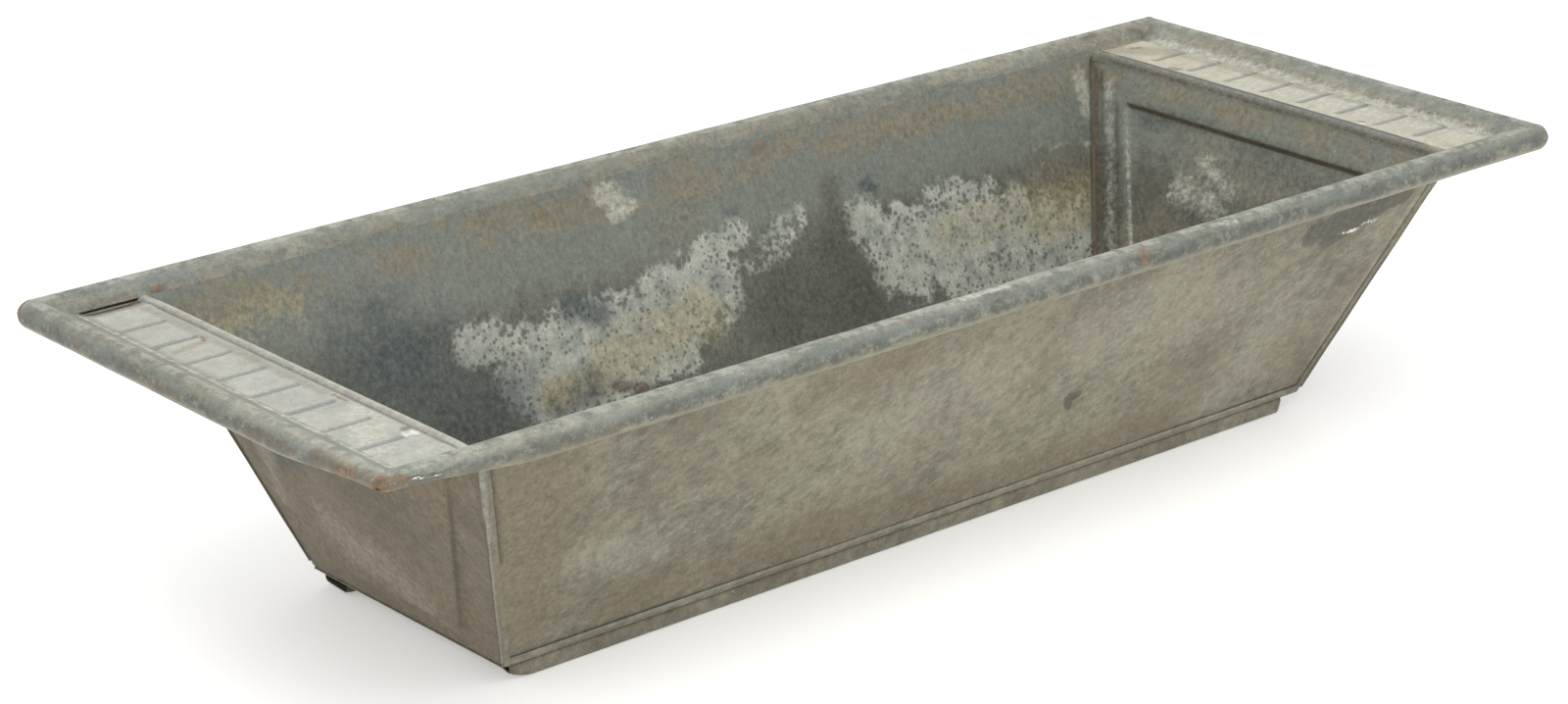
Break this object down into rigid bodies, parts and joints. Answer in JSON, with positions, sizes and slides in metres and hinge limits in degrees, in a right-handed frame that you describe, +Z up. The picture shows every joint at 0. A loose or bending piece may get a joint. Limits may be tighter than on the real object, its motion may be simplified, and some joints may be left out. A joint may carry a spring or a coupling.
{
  "type": "livestock water trough",
  "caption": "Long low trough of galvanised sheet with leaning walls, a thick rolled rim, a ribbed flat ledge at each end and skids below, for watering or feeding farm animals.",
  "frame": {"origin": "on the ground, below the middle of the rolled rim", "axes": "+X along the trough's length, +Y across it to the rear side, +Z up"},
  "size_m": [1.5, 0.595, 0.305],
  "materials": {
    "body_zinc": "weathered galvanised sheet, khaki grey, mottled",
    "rim_zinc": "weathered galvanised sheet, blue grey, worn by hands",
    "ledge_zinc": "pale chalky galvanised sheet with rust tints",
    "runner_zinc": "dull scuffed galvanised sheet",
    "solder": "dull tin solder with rust breaking through",
    "bare_steel_tube": "rusty mild steel tube"
  },
  "bodies": {
    "root": {"corner_cap_front_left": "solder", "corner_cap_front_right": "solder", "corner_cap_rear_left": "solder", "corner_cap_rear_right": "solder", "corner_seam_front_left": "body_zinc", "corner_seam_front_right": "body_zinc", "corner_seam_rear_left": "body_zinc", "corner_seam_rear_right": "body_zinc", "floor_pan": "body_zinc", "fold_solder_front_left": "solder", "fold_solder_front_right": "solder", "fold_solder_rear_left": "solder", "fold_solder_rear_right": "solder", "front_rim": "rim_zinc", "front_rim_tube": "bare_steel_tube", "front_runner": "runner_zinc", "front_side_sheet": "body_zinc", "left_end_sheet": "body_zinc", "left_ledge": "ledge_zinc", "left_ledge_fold": "ledge_zinc", "left_rim": "rim_zinc", "left_rim_tube": "bare_steel_tube", "rear_rim": "rim_zinc", "rear_rim_tube": "bare_steel_tube", "rear_runner": "runner_zinc", "rear_side_sheet": "body_zinc", "right_end_sheet": "body_zinc", "right_ledge": "ledge_zinc", "right_ledge_fold": "ledge_zinc", "right_rim": "rim_zinc", "right_rim_tube": "bare_steel_tube"}
  },
  "joints": []
}
